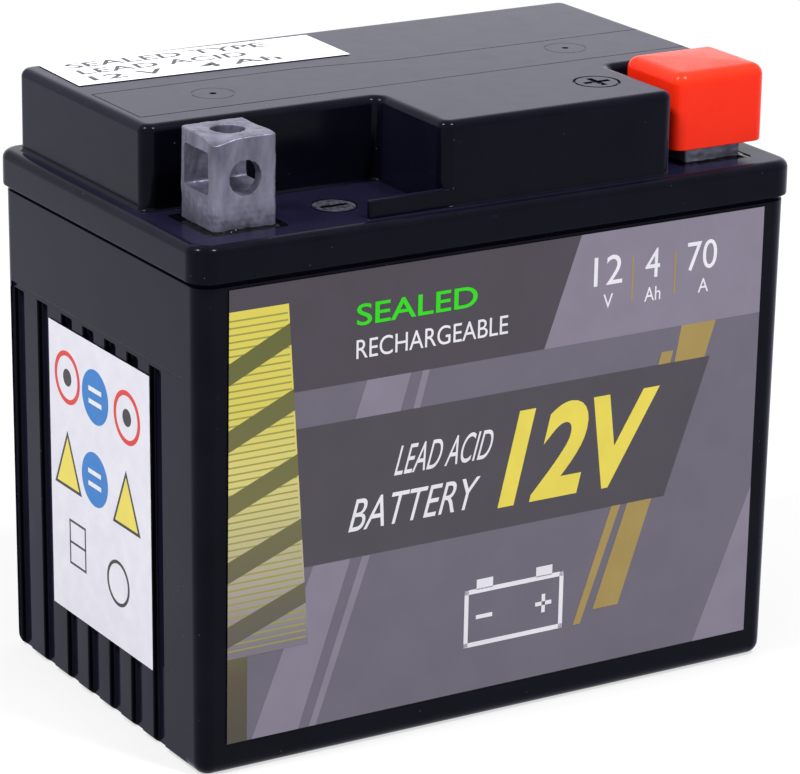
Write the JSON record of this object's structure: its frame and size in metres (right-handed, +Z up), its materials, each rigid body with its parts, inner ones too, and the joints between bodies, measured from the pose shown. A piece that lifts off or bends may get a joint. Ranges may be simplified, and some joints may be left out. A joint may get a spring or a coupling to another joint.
{
  "type": "motorcycle battery",
  "caption": "Sealed twelve-volt motorcycle battery: ribbed black case, stepped lid with a welded vent strip, cast lead box terminals, a pull-off red terminal cap, and cells with plates inside.",
  "frame": {"origin": "centre of the base, on the surface the battery stands on", "axes": "+Z up; +X along the long label face, from the negative terminal to the positive terminal; -Y out of the front label face, so +Y points to the back"},
  "size_m": [0.114, 0.071, 0.105],
  "materials": {
    "case_plastic": "satin",
    "red_plastic": "satin",
    "cast_lead": "satin",
    "black_epoxy": "gloss",
    "valve_rubber": "matte",
    "porous_disc": "matte",
    "front_label_film": "satin",
    "white_label_film": "satin",
    "positive_paste": "matte",
    "negative_paste": "matte",
    "glass_mat": "matte"
  },
  "bodies": {
    "root": {"container": "case_plastic", "lid": "case_plastic", "vent_cover": "case_plastic", "flame_arrestor_left": "porous_disc", "flame_arrestor_right": "porous_disc", "negative_terminal": "cast_lead", "positive_terminal": "cast_lead", "negative_post": "cast_lead", "positive_post": "cast_lead", "negative_seal": "black_epoxy", "positive_seal": "black_epoxy", "front_label": "front_label_film", "end_label": "white_label_film", "top_label": "white_label_film", "positive_plates_1": "positive_paste", "negative_plates_1": "negative_paste", "separator_1": "glass_mat", "positive_plates_2": "positive_paste", "negative_plates_2": "negative_paste", "separator_2": "glass_mat", "positive_plates_3": "positive_paste", "negative_plates_3": "negative_paste", "separator_3": "glass_mat", "positive_plates_4": "positive_paste", "negative_plates_4": "negative_paste", "separator_4": "glass_mat", "positive_plates_5": "positive_paste", "negative_plates_5": "negative_paste", "separator_5": "glass_mat", "positive_plates_6": "positive_paste", "negative_plates_6": "negative_paste", "separator_6": "glass_mat", "cell_link_1": "cast_lead", "cell_link_2": "cast_lead", "cell_link_3": "cast_lead", "cell_link_4": "cast_lead", "cell_link_5": "cast_lead"},
    "terminal_cap": {"terminal_cap": "red_plastic"},
    "valve_cap_1": {"valve_cap_1": "valve_rubber"},
    "valve_cap_2": {"valve_cap_2": "valve_rubber"},
    "valve_cap_3": {"valve_cap_3": "valve_rubber"},
    "valve_cap_4": {"valve_cap_4": "valve_rubber"},
    "valve_cap_5": {"valve_cap_5": "valve_rubber"},
    "valve_cap_6": {"valve_cap_6": "valve_rubber"}
  },
  "joints": [
    {"name": "terminal_cap_pull", "type": "slide", "parent": "root", "child": "terminal_cap", "axis": [0, 0, 1], "range_m": [0, 0.025]},
    {"name": "valve_lift_1", "type": "slide", "parent": "root", "child": "valve_cap_1", "axis": [0, 0, 1], "range_m": [0, 0.0004], "stiffness_N_per_m": 50, "springref_m": -0.001},
    {"name": "valve_lift_2", "type": "slide", "parent": "root", "child": "valve_cap_2", "axis": [0, 0, 1], "range_m": [0, 0.0004], "stiffness_N_per_m": 50, "springref_m": -0.001},
    {"name": "valve_lift_3", "type": "slide", "parent": "root", "child": "valve_cap_3", "axis": [0, 0, 1], "range_m": [0, 0.0004], "stiffness_N_per_m": 50, "springref_m": -0.001},
    {"name": "valve_lift_4", "type": "slide", "parent": "root", "child": "valve_cap_4", "axis": [0, 0, 1], "range_m": [0, 0.0004], "stiffness_N_per_m": 50, "springref_m": -0.001},
    {"name": "valve_lift_5", "type": "slide", "parent": "root", "child": "valve_cap_5", "axis": [0, 0, 1], "range_m": [0, 0.0004], "stiffness_N_per_m": 50, "springref_m": -0.001},
    {"name": "valve_lift_6", "type": "slide", "parent": "root", "child": "valve_cap_6", "axis": [0, 0, 1], "range_m": [0, 0.0004], "stiffness_N_per_m": 50, "springref_m": -0.001}
  ]
}
